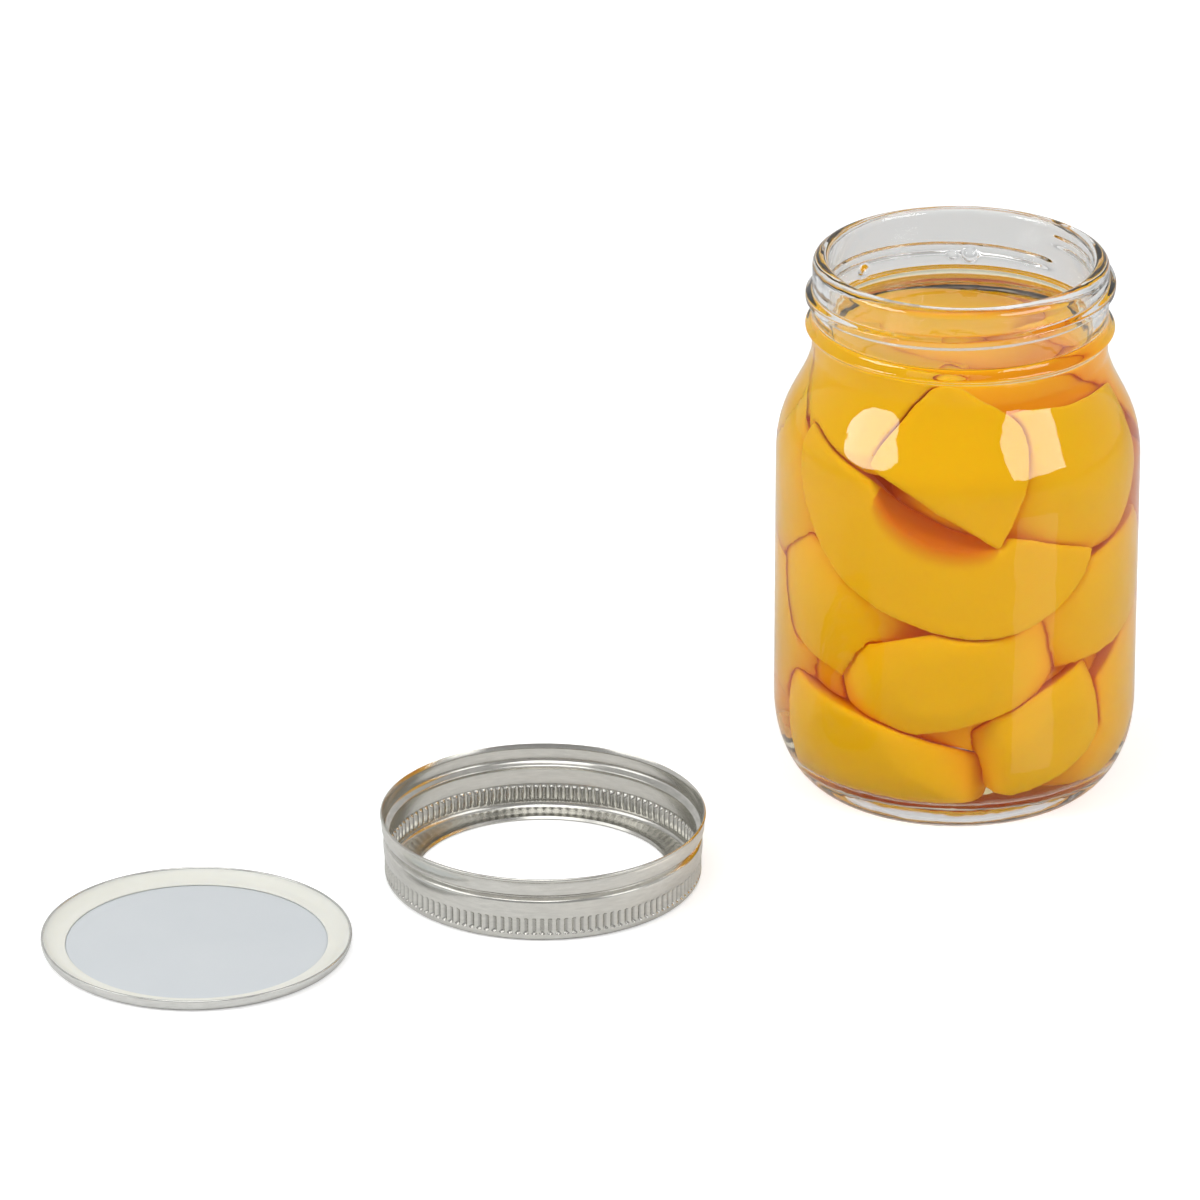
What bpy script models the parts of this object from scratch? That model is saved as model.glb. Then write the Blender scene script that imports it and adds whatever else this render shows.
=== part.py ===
"""A pint canning jar with a two-piece closure, opened and set out on a table.

The glass jar stands upright and holds peach slices. The threaded screw band and the
flat lid with its sealing ring lie upside down beside it. The lid and the band each
turn over through half a turn to reach the mouth of the jar.
Units are metres, +Z is up, and the origin is the middle of the set's footprint.
"""

import math

import bmesh
import bpy
from mathutils import Matrix, Vector

MM = 0.001
GAP = 0.3 * MM
SEGMENTS = 48

# Glass jar: 70 mm continuous-thread finish on a 16 US fl oz round body.
JAR_HEIGHT = 127.0 * MM
BODY_R = 41.4 * MM
WALL = 2.8 * MM
FLOOR = 6.2 * MM
PUSH_UP = 1.8 * MM
FOOT_OUTER_R = 30.0 * MM
FOOT_INNER_R = 27.4 * MM
HEEL_TOP = 21.4 * MM
SHOULDER_BASE = 79.3 * MM
SHOULDER_TOP = 104.7 * MM
FINISH_R = 33.5 * MM
MOUTH_R = 29.8 * MM
BEAD_R = 35.0 * MM
BEAD_Z = 110.9 * MM

# Screw thread on the finish, right-handed, one turn.
THREAD_R = 35.0 * MM
THREAD_PITCH = 6.35 * MM
THREAD_START_DEG = 43.0
THREAD_TURN_DEG = 368.0
THREAD_START_Z = 115.6 * MM
THREAD_HALF_WIDTH = 1.7 * MM

# Screw band, measured with its lip up.
BAND_HEIGHT = 15.8 * MM
BAND_R = 36.6 * MM
BAND_WALL = 0.5 * MM
BAND_KNURL_R = 35.75 * MM
BAND_LIP_R = 28.5 * MM
BAND_GROOVE_DEPTH = 1.3 * MM
BAND_GROOVE_WIDTH = 1.3 * MM
BAND_GROOVE_MID_Z = 5.4 * MM
BAND_GROOVE_MID_DEG = 90.0
BAND_GROOVE_REACH_DEG = 165.0

# Flat lid and the sealing ring in its channel, measured upside down.
LID_R = 34.5 * MM
LID_HEIGHT = 3.0 * MM
LID_SHEET = 0.5 * MM
LID_PANEL_R = 28.6 * MM
LID_PANEL_Z = 0.35 * MM
SEAL_CONTACT_Z = 1.5 * MM

# Where the loose pieces lie, from the jar's axis.
BAND_FROM_JAR = Vector((-94.1, -56.0)) * MM
LID_FROM_JAR = Vector((-170.6, -92.8)) * MM
SPAN_X = (LID_FROM_JAR.x - LID_R, BODY_R)
SPAN_Y = (LID_FROM_JAR.y - LID_R, BODY_R)
JAR_AT = Vector((-sum(SPAN_X) / 2, -sum(SPAN_Y) / 2, 0.0))
BAND_AT = JAR_AT + BAND_FROM_JAR.to_3d()
LID_AT = JAR_AT + LID_FROM_JAR.to_3d()

# Heights that a half turn adds up to: a point at height h ends at this height less h.
LID_TURN_SUM = JAR_HEIGHT + 0.25 * MM + SEAL_CONTACT_Z
BAND_TURN_SUM = LID_TURN_SUM + GAP + BAND_HEIGHT

# Peach slices: wedges of a fruit of this radius and length, with a hollow for the stone.
FRUIT_R = 32.0 * MM
FRUIT_HALF_LENGTH = 33.0 * MM
STONE_R = 12.0 * MM
STONE_HALF_LENGTH = 18.0 * MM
EDGE_R = 1.4 * MM
SLICE_SECTIONS = 13
SLICE_ARC = 6
SYRUP_LEVEL = 111.6 * MM
WRAP_R = BODY_R - WALL

# One row for each slice, in the order that the cuts keep them whole: bearing round the
# jar from the front, distance of the fruit's middle from the jar's axis, its height,
# roll about the long axis, tilt of that axis, turn, whether the soft slice bends round
# the glass, wedge angle, size, stretch of its length, and stone for the hollow's size.
# Lengths are in mm and angles in degrees. Roll 0 has the skin out, 90 has it down.
SLICES = [
    (-12, 37.0, 79.0, -118, 29, 0, 1, 56, 0.92, 0.61, 0.20),
    (-7.5, 36.6, 80.5, 118, 18, 0, 1, 60, 0.91, 1.40, 0.78),
    (-41, 7, 18.5, 8, 11, 0, 1, 52, 1.00, 1.32, 1.0),
    (-5, 7.5, 39, 0, -13, 0, 1, 46, 0.98, 1.32, 1.0),
    (34, 9, 24, 0, -22, 0, 1, 46, 0.92, 0.74, 0.8),
    (52, 6.5, 83, 0, 5, 0, 1, 70, 1.00, 1.20, 1.0),
    (40, -8, 79, -90, 2, -40, 0, 110, 1.00, 1.00, 1.0),
    (-48, 6, 100, 0, 5, 0, 1, 56, 0.98, 1.20, 1.0),
    (-56, 7, 51, 0, 14, 0, 1, 58, 0.95, 1.15, 1.0),
    (64, 8, 53, 0, -12, 0, 1, 50, 0.95, 1.20, 1.0),
    (80, 8, 28, 0, -35, 0, 1, 54, 0.92, 1.10, 1.0),
    (-88, 7, 76, 0, 70, 0, 1, 64, 0.98, 1.15, 1.0),
    (-6, 1, 78, 0, 25, 0, 1, 64, 0.88, 1.10, 1.0),
    (-2, 2, 26, 0, 10, 0, 1, 64, 0.88, 1.20, 1.0),
    (50, 2, 40, 0, -8, 0, 1, 70, 0.88, 1.20, 1.0),
    (-62, 2, 37, 0, 5, 0, 1, 64, 0.88, 1.20, 1.0),
    (130, 8, 84, 0, 40, 0, 1, 60, 0.95, 1.10, 1.0),
    (-140, 8, 80, 0, -30, 0, 1, 60, 0.95, 1.10, 1.0),
    (178, 8, 54, 5, 15, 0, 1, 60, 0.95, 1.10, 1.0),
    (132, 8, 27, 10, 5, 0, 1, 58, 0.92, 1.10, 1.0),
    (-130, 8, 27, 10, -8, 0, 1, 58, 0.92, 1.10, 1.0),
    (116, 8, 56, 0, -60, 0, 1, 58, 0.92, 1.10, 1.0),
    (-98, 8, 46, 0, 50, 0, 1, 66, 0.98, 1.20, 1.0),
]


def clear_scene():
    for item in list(bpy.data.objects):
        bpy.data.objects.remove(item, do_unlink=True)


def material(name, colour, roughness, metallic=0.0, transmission=0.0):
    made = bpy.data.materials.new(name)
    made.use_nodes = True
    made.diffuse_color = (*colour, 1.0)
    shader = made.node_tree.nodes["Principled BSDF"]
    shader.inputs["Base Color"].default_value = (*colour, 1.0)
    shader.inputs["Roughness"].default_value = roughness
    shader.inputs["Metallic"].default_value = metallic
    shader.inputs["Transmission Weight"].default_value = transmission
    return made


def new_object(name, mesh, surface=None):
    piece = bpy.data.objects.new(name, mesh)
    bpy.context.collection.objects.link(piece)
    if surface is not None:
        mesh.materials.append(surface)
    return piece


def make_cutter(piece):
    piece.hide_render = True
    piece.display_type = "WIRE"
    return piece


def curve(start, lean, reach, end, steps):
    """Points of a cubic curve after its start, each an (r, z) pair."""
    points = []
    for i in range(1, steps + 1):
        t = i / steps
        weights = ((1 - t) ** 3, 3 * t * (1 - t) ** 2, 3 * t * t * (1 - t), t**3)
        ends = (start, lean, reach, end)
        points.append(tuple(sum(w * p[k] for w, p in zip(weights, ends)) for k in (0, 1)))
    return points


def turned(name, outline, surface=None, segments=SEGMENTS, shift=None):
    """A solid turned about Z from (r, z) points that run down its outside.

    An outline that starts and ends on the axis makes a solid with no hole. Any other
    outline is closed into a ring. shift(r, z, angle) moves a point in or out.
    """
    mesh = bpy.data.meshes.new(name)
    bm = bmesh.new()
    rings = []
    for r, z in outline:
        if r == 0.0:
            rings.append([bm.verts.new((0.0, 0.0, z))])
            continue
        ring = []
        for i in range(segments):
            angle = math.tau * i / segments
            out = r if shift is None else r + shift(r, z, angle)
            ring.append(bm.verts.new((out * math.cos(angle), out * math.sin(angle), z)))
        rings.append(ring)
    pairs = list(zip(rings, rings[1:]))
    if outline[0][0] > 0.0:
        pairs.append((rings[-1], rings[0]))
    for upper, lower in pairs:
        for i in range(segments):
            j = (i + 1) % segments
            corners = [upper[i % len(upper)], lower[i % len(lower)]]
            corners += [lower[j % len(lower)], upper[j % len(upper)]]
            unique = list(dict.fromkeys(corners))
            if len(unique) > 2:
                bm.faces.new(unique)
    bm.to_mesh(mesh)
    bm.free()
    mesh.shade_smooth()
    mesh.set_sharp_from_angle(angle=math.radians(40))
    return new_object(name, mesh, surface)


def jar_outline():
    """The glass from the top of the rim, down its outside and up its inside."""
    neck_r = FINISH_R
    points = [(31.6 * MM, JAR_HEIGHT), (32.7 * MM, JAR_HEIGHT - 0.5 * MM)]
    points += [(33.3 * MM, JAR_HEIGHT - 1.4 * MM), (neck_r, JAR_HEIGHT - 2.6 * MM)]
    points += [(neck_r, BEAD_Z + 2.0 * MM), (BEAD_R, BEAD_Z + 0.7 * MM)]
    points += [(BEAD_R, BEAD_Z - 0.7 * MM), (neck_r, BEAD_Z - 2.0 * MM), (neck_r, SHOULDER_TOP)]
    points += curve(
        (neck_r, SHOULDER_TOP), (35.7 * MM, 94.6 * MM), (BODY_R, 92.8 * MM), (BODY_R, SHOULDER_BASE), 8
    )
    points += [(BODY_R, HEEL_TOP)]
    points += curve(
        (BODY_R, HEEL_TOP), (BODY_R, 5.2 * MM), (31.5 * MM, 0.0), (FOOT_OUTER_R, 0.0), 7
    )
    points += [(FOOT_INNER_R, 0.0), (24.0 * MM, 0.9 * MM), (0.0, PUSH_UP)]
    return points


def cavity_outline(inset):
    """The inside of the jar from its floor to SHOULDER_TOP, moved in by inset."""
    inner_r = BODY_R - WALL - inset
    throat_r = MOUTH_R + 0.4 * MM - inset
    floor_z = FLOOR + inset
    points = [(0.0, floor_z), (22.0 * MM, floor_z)]
    points += curve(
        (22.0 * MM, floor_z), (33.5 * MM, floor_z), (inner_r, 11.0 * MM), (inner_r, 24.0 * MM), 6
    )
    points += [(inner_r, SHOULDER_BASE - 1.5 * MM)]
    points += curve(
        (inner_r, SHOULDER_BASE - 1.5 * MM),
        (inner_r, 90.5 * MM),
        (throat_r + 2.0 * MM, 92.5 * MM),
        (throat_r, SHOULDER_TOP),
        7,
    )
    return points


def thread_ridge():
    """The helical ridge of the finish, tapered into the wall at both ends."""
    mesh = bpy.data.meshes.new("thread_ridge")
    bm = bmesh.new()
    steps = 50
    root_r = FINISH_R - 0.6 * MM
    rings = []
    for i in range(steps + 1):
        share = i / steps
        angle = math.radians(THREAD_START_DEG + THREAD_TURN_DEG * share)
        height = THREAD_START_Z + THREAD_PITCH * THREAD_TURN_DEG / 360.0 * share
        full = min(1.0, share * 22.0 + 0.12, (1.0 - share) * 22.0 + 0.12)
        crest_r = FINISH_R - 0.15 * MM + (THREAD_R - FINISH_R + 0.15 * MM) * full
        half = THREAD_HALF_WIDTH
        section = [(root_r, -half), (crest_r, -0.45 * half), (crest_r, 0.45 * half), (root_r, half)]
        ring = []
        for r, up in section:
            ring.append(bm.verts.new((r * math.cos(angle), r * math.sin(angle), height + up)))
        rings.append(ring)
    for near, far in zip(rings, rings[1:]):
        for k in range(4):
            m = (k + 1) % 4
            bm.faces.new((near[k], far[k], far[m], near[m]))
    bm.faces.new(rings[0])
    bm.faces.new(list(reversed(rings[-1])))
    bmesh.ops.recalc_face_normals(bm, faces=bm.faces)
    bm.to_mesh(mesh)
    bm.free()
    return make_cutter(new_object("thread_ridge", mesh))


def build_jar(surface):
    outline = jar_outline() + cavity_outline(0.0)
    outline += [(MOUTH_R, 108.5 * MM), (MOUTH_R, JAR_HEIGHT - 1.2 * MM), (30.3 * MM, JAR_HEIGHT)]
    # The rim, the outside, the foot and the inside meet at the axis twice, so the
    # outline is opened at the underside: it runs from there round to the jar's floor.
    under = outline.index((0.0, PUSH_UP))
    outside = outline[: under + 1]
    inside = outline[under + 1 :]
    jar = turned("glass_jar", inside + outside, surface)
    ridge = thread_ridge()
    join = jar.modifiers.new("thread", "BOOLEAN")
    join.operation = "UNION"
    join.solver = "EXACT"
    join.object = ridge
    jar.location = JAR_AT
    ridge.location = JAR_AT
    return jar


def groove_shift(r, z, angle):
    """The band's rolled helical groove, which is a bead on its inside."""
    turn = (angle - math.radians(BAND_GROOVE_MID_DEG) + math.pi) % math.tau - math.pi
    reach = math.radians(BAND_GROOVE_REACH_DEG)
    fade = max(0.0, min(1.0, (reach - abs(turn)) / math.radians(20.0)))
    middle = BAND_GROOVE_MID_Z + THREAD_PITCH * turn / math.tau
    off = (z - middle) / BAND_GROOVE_WIDTH
    in_wall = r > BAND_R - 2.0 * MM and z < 10.0 * MM
    return -BAND_GROOVE_DEPTH * fade * math.exp(-off * off) if in_wall else 0.0


def band_outline():
    top = BAND_HEIGHT
    lip = BAND_LIP_R
    outer = [(lip, top - 0.9 * MM), (lip, top - 0.2 * MM), (lip + 0.7 * MM, top)]
    outer += [(33.6 * MM, top), (35.0 * MM, top - 0.5 * MM), (BAND_KNURL_R, top - 1.7 * MM)]
    outer += [(BAND_KNURL_R, top - 5.9 * MM), (36.2 * MM, top - 7.0 * MM)]
    outer += [(36.4 * MM, z * MM) for z in (7.7, 6.8, 6.0, 5.2, 4.4, 3.6, 2.8, 2.0)]
    outer += [(36.2 * MM, 1.3 * MM), (BAND_R, 0.8 * MM), (BAND_R, 0.2 * MM), (36.3 * MM, 0.0)]
    inner = [(36.0 * MM, 0.2 * MM), (35.8 * MM, 1.2 * MM)]
    inner += [(36.4 * MM - BAND_WALL, z * MM) for z in (2.0, 2.8, 3.6, 4.4, 5.2, 6.0, 6.8, 7.7)]
    inner += [(35.7 * MM, top - 7.1 * MM), (BAND_KNURL_R - BAND_WALL, top - 6.0 * MM)]
    inner += [(BAND_KNURL_R - BAND_WALL, top - 1.9 * MM), (34.7 * MM, top - 0.9 * MM)]
    inner += [(33.5 * MM, top - BAND_WALL), (lip + 1.2 * MM, top - BAND_WALL)]
    inner += [(lip + 1.0 * MM, top - 0.9 * MM)]
    return outer + inner


def lid_outline():
    sheet = LID_SHEET
    upper = [(0.0, LID_PANEL_Z + sheet), (LID_PANEL_R, LID_PANEL_Z + sheet)]
    upper += [(29.6 * MM, sheet), (31.9 * MM, sheet), (33.1 * MM, 0.95 * MM)]
    upper += [(LID_R - sheet, 2.1 * MM), (LID_R - 0.45 * MM, LID_HEIGHT), (LID_R - 0.15 * MM, LID_HEIGHT)]
    lower = [(LID_R, LID_HEIGHT - 0.2 * MM), (LID_R, 2.0 * MM), (33.6 * MM, 0.45 * MM), (32.1 * MM, 0.0)]
    lower += [(29.4 * MM, 0.0), (LID_PANEL_R - 0.1 * MM, LID_PANEL_Z), (0.0, LID_PANEL_Z)]
    return upper + lower


def seal_outline():
    top = [(29.0 * MM, 1.15 * MM), (30.8 * MM, 1.25 * MM), (32.3 * MM, SEAL_CONTACT_Z)]
    top += [(33.55 * MM, 2.45 * MM), (33.65 * MM, 2.4 * MM)]
    under = [(32.9 * MM, 1.2 * MM), (31.8 * MM, 0.8 * MM), (29.8 * MM, 0.8 * MM)]
    return top + under + [(28.95 * MM, 1.1 * MM)]


def hinge_at(name, piece_at, turn_sum):
    """An empty on the level axis of the half turn from the table to the mouth."""
    to_jar = (JAR_AT - piece_at).normalized()
    axis = Vector((-to_jar.y, to_jar.x, 0.0))
    middle = (JAR_AT + piece_at) / 2
    middle.z = turn_sum / 2
    hinge = bpy.data.objects.new(name, None)
    hinge.empty_display_size = 0.01
    bpy.context.collection.objects.link(hinge)
    hinge.matrix_world = Matrix.Translation(middle) @ axis.to_track_quat("X", "Z").to_matrix().to_4x4()
    return hinge


def hang_on(hinge, piece, place):
    """Parents a piece to its hinge and keeps it at its place in the world."""
    piece.parent = hinge
    piece.matrix_parent_inverse = hinge.matrix_world.inverted()
    piece.matrix_basis = place


def build_closure(tinplate, enamel, compound):
    band_hinge = hinge_at("band_hinge", BAND_AT, BAND_TURN_SUM)
    band = turned("screw_band", band_outline(), tinplate, shift=groove_shift)
    flipped = Matrix.Translation((0.0, 0.0, BAND_HEIGHT)) @ Matrix.Rotation(math.pi, 4, "X")
    hang_on(band_hinge, band, Matrix.Translation(BAND_AT) @ flipped)
    lid_hinge = hinge_at("lid_hinge", LID_AT, LID_TURN_SUM)
    lid = turned("lid_disc", lid_outline(), enamel)
    seal = turned("sealing_ring", seal_outline(), compound)
    for piece in (lid, seal):
        hang_on(lid_hinge, piece, Matrix.Translation(LID_AT))


def to_jar(spot, bearing, out, height, roll, tilt, turn, bend):
    """Takes a point of a fruit to its place round the jar's axis, bent round the glass or not."""
    turned = Matrix.Rotation(math.radians(tilt), 3, "Y") @ Matrix.Rotation(math.radians(turn), 3, "Z")
    x, y, z = turned @ Matrix.Rotation(math.radians(roll), 3, "X") @ spot
    radius = out * MM - y
    angle = math.radians(bearing)
    if bend:
        angle += x / WRAP_R
        x = 0.0
    cos, sin = math.cos(angle), math.sin(angle)
    return Vector((x * cos + radius * sin, x * sin - radius * cos, z + height * MM))


def slice_radii(share, stretch, stone):
    """Outer and inner radius of a slice's section, at share -1 to 1 of its length."""
    fullness = 2.3 * max(1.0, stretch**-2)
    outer = FRUIT_R * (1.0 - abs(share) ** fullness) ** 0.55
    across = share * stretch * FRUIT_HALF_LENGTH / STONE_HALF_LENGTH
    inner = STONE_R * stone * math.sqrt(1.0 - across * across) if abs(across) < 1.0 else 0.0
    return outer, max(inner, EDGE_R)


def slice_mesh(name, place, wedge, size, stretch, stone, grow):
    """A wedge of fruit in its place round the jar's axis, moved out by grow."""
    mesh = bpy.data.meshes.new(name)
    bm = bmesh.new()
    rings = []
    half = math.radians(wedge / 2)
    for i in range(SLICE_SECTIONS):
        share = math.sin((i / (SLICE_SECTIONS - 1) - 0.5) * math.radians(158))
        outer, inner = slice_radii(share, stretch, stone)
        spots = [(outer, -half + 2 * half * k / (SLICE_ARC - 1)) for k in range(SLICE_ARC)]
        spots += [(inner, half), (inner, 0.0), (inner, -half)]
        ring = []
        for r, angle in spots:
            along = share * stretch * FRUIT_HALF_LENGTH
            spot = Vector((along, -r * math.cos(angle), -r * math.sin(angle))) * size
            ring.append(bm.verts.new(to_jar(spot, *place)))
        rings.append(ring)
    count = len(rings[0])
    for near, far in zip(rings, rings[1:]):
        for k in range(count):
            m = (k + 1) % count
            bm.faces.new((near[k], near[m], far[m], far[k]))
    bm.faces.new(list(reversed(rings[0])))
    bm.faces.new(rings[-1])
    bmesh.ops.triangulate(bm, faces=bm.faces)
    bmesh.ops.recalc_face_normals(bm, faces=bm.faces)
    bm.normal_update()
    moves = [(v, v.co + v.normal * grow) for v in bm.verts]
    for v, place_out in moves:
        v.co = place_out
    bm.to_mesh(mesh)
    bm.free()
    return mesh


def boxes_meet(first, second):
    corners = [[o.matrix_world @ Vector(c) for c in o.bound_box] for o in (first, second)]
    for k in range(3):
        lows = [min(c[k] for c in group) for group in corners]
        highs = [max(c[k] for c in group) for group in corners]
        if max(lows) > min(highs):
            return False
    return True


def cut(piece, cutter, operation):
    step = piece.modifiers.new(cutter.name, "BOOLEAN")
    step.operation = operation
    step.solver = "EXACT"
    step.object = cutter


def apply_cuts(piece):
    """Replaces a piece's mesh with the cut one, without the crumbs that cuts leave."""
    graph = bpy.context.evaluated_depsgraph_get()
    mesh = bpy.data.meshes.new_from_object(piece.evaluated_get(graph), depsgraph=graph)
    bm = bmesh.new()
    bm.from_mesh(mesh)
    bm.verts.ensure_lookup_table()
    owner = [-1] * len(bm.verts)
    sizes = []
    for start in range(len(bm.verts)):
        if owner[start] >= 0:
            continue
        owner[start] = len(sizes)
        body = [bm.verts[start]]
        for vert in body:
            for edge in vert.link_edges:
                other = edge.other_vert(vert)
                if owner[other.index] < 0:
                    owner[other.index] = len(sizes)
                    body.append(other)
        sizes.append(len(body))
    kept = sizes.index(max(sizes))
    crumbs = [vert for vert in bm.verts if owner[vert.index] != kept]
    bmesh.ops.delete(bm, geom=crumbs, context="VERTS")
    bm.to_mesh(mesh)
    bm.free()
    piece.modifiers.clear()
    piece.data = mesh


def build_slices(flesh):
    room_outline = list(reversed(cavity_outline(GAP)))
    room_outline = [(0.0, SYRUP_LEVEL)] + [(MOUTH_R - 0.6 * MM, SYRUP_LEVEL)] + room_outline
    room = make_cutter(turned("content_room", room_outline, segments=32))
    room.location = JAR_AT
    grown = []
    for number, row in enumerate(SLICES, start=1):
        place, shape = row[:7], row[7:]
        name = f"peach_slice_{number:02d}"
        piece = new_object(name, slice_mesh(name, place, *shape, 0.0), flesh)
        cutter_name = f"room_for_{number:02d}"
        cutter = make_cutter(new_object(cutter_name, slice_mesh(cutter_name, place, *shape, 1.2 * GAP)))
        piece.location = JAR_AT
        cutter.location = JAR_AT
        bpy.context.view_layer.update()
        cut(piece, room, "INTERSECT")
        for earlier in grown:
            if boxes_meet(piece, earlier):
                cut(piece, earlier, "DIFFERENCE")
        apply_cuts(piece)
        grown.append(cutter)
    for cutter in grown + [room]:
        bpy.data.objects.remove(cutter, do_unlink=True)


def main():
    clear_scene()
    glass = material("clear_glass", (0.93, 0.96, 0.95), 0.02, transmission=1.0)
    tinplate = material("tinplate", (0.72, 0.72, 0.68), 0.28, metallic=1.0)
    enamel = material("lid_enamel", (0.66, 0.69, 0.73), 0.35)
    compound = material("sealing_compound", (0.86, 0.85, 0.78), 0.3)
    flesh = material("peach_flesh", (0.86, 0.46, 0.03), 0.35)
    build_jar(glass)
    build_closure(tinplate, enamel, compound)
    build_slices(flesh)


main()
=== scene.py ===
"""Looks for a pint canning jar of peach slices, with its lid and screw band beside it."""

import math

import bmesh
import bpy
from mathutils import Matrix, Vector, noise


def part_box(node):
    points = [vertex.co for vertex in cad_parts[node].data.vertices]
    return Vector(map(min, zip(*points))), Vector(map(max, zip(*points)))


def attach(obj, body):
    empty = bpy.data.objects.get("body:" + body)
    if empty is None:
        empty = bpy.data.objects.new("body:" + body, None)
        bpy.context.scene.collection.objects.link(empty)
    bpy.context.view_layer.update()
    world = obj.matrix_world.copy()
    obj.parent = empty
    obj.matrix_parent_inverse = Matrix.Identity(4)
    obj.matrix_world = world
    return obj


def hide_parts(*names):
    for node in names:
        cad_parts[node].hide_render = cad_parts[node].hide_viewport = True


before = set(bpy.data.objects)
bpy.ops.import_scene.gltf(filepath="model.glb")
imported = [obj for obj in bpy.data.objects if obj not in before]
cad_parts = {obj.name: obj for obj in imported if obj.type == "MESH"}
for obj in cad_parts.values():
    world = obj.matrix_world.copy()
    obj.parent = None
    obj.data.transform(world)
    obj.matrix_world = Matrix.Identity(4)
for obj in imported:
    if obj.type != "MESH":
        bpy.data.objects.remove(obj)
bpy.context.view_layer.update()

MM = 0.001


def middle(node):
    """The middle of a CAD node's footprint, on the table."""
    low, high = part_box(node)
    return Vector(((low.x + high.x) / 2, (low.y + high.y) / 2, 0.0))


JAR_AT = middle("glass_jar")
BAND_AT = middle("screw_band")
LID_AT = middle("lid_disc")

# Glass jar.
JAR_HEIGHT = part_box("glass_jar")[1].z
BODY_R = 41.4 * MM
WALL = 2.8 * MM
FLOOR = 6.2 * MM
PUSH_UP = 1.8 * MM
HEEL_TOP = 21.4 * MM
SHOULDER_BASE = 79.3 * MM
SHOULDER_TOP = 104.7 * MM
FINISH_R = 33.5 * MM
MOUTH_R = 29.8 * MM
BEAD_Z = 110.9 * MM
BEAD_RISE = 1.5 * MM
THREAD_RISE = 1.5 * MM
THREAD_PITCH = 6.35 * MM
THREAD_START_DEG = 43.0
THREAD_TURN_DEG = 368.0
THREAD_START_Z = 115.6 * MM
THREAD_HALF_WIDTH = 1.75 * MM
THREAD_TAPER_DEG = 15.0
# Drops inside the neck: bearing from +X in degrees, then height, radius and thickness in mm.
DROPLETS = [(83.6, 116.0, 2.0, 1.5), (91.4, 115.8, 1.1, 0.9), (135.7, 115.4, 1.7, 1.3)]
JAR_SEGMENTS = 360
SYRUP_SEGMENTS = 144

# Syrup.
SYRUP_LEVEL = 111.6 * MM
MENISCUS = 0.9 * MM
GLASS_IOR = 1.5
SYRUP_IOR = 1.4

# Screw band, measured with its lip up.
BAND_HEIGHT = 15.8 * MM
BAND_R = 36.6 * MM
BAND_SHEET = 0.4 * MM
KNURLS = 124
KNURL_DEPTH = 0.6 * MM
KNURL_SPAN = (1.9 * MM, 5.9 * MM)
GROOVE_Z = 4.95 * MM
GROOVE_DEPTH = 1.0 * MM
GROOVE_HALF_WIDTH = 0.6 * MM
ROLL_R = 36.3 * MM
ROLL_Z = 2.7 * MM
BELLY_R = 35.9 * MM
BELLY_Z = 7.4 * MM
KNURL_R = 35.65 * MM
BAND_LIP_R = 28.5 * MM

# Peach slices, as in the CAD model: wedges of a fruit, cut round each other.
FRUIT_R = 32.0 * MM
FRUIT_HALF_LENGTH = 33.0 * MM
STONE_R = 12.0 * MM
STONE_HALF_LENGTH = 18.0 * MM
EDGE_R = 1.2 * MM
SLICE_GAP = 0.35 * MM
SLICE_SECTIONS = 33
SLICE_SKIN_STEPS = 14
SLICE_FACE_STEPS = 6
SLICE_HOLLOW_STEPS = 4
SLICE_VOXEL = 0.7 * MM
SLICE_SMOOTHING = 9
SWELL_SIZE = 17.0 * MM
SWELL = 0.7 * MM
FINE_SWELL = 0.35 * MM
WRAP_R = BODY_R - WALL
PIT_BLEED = 5.5 * MM
# A cut through uneven surfaces can come out nearly empty, with fewer points than this.
FEWEST_POINTS = 400
# Then the slice is made again, with its unevenness moved on by the next of these.
SEED_STEPS = (0.0, 0.3, 0.6, 0.9)
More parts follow.
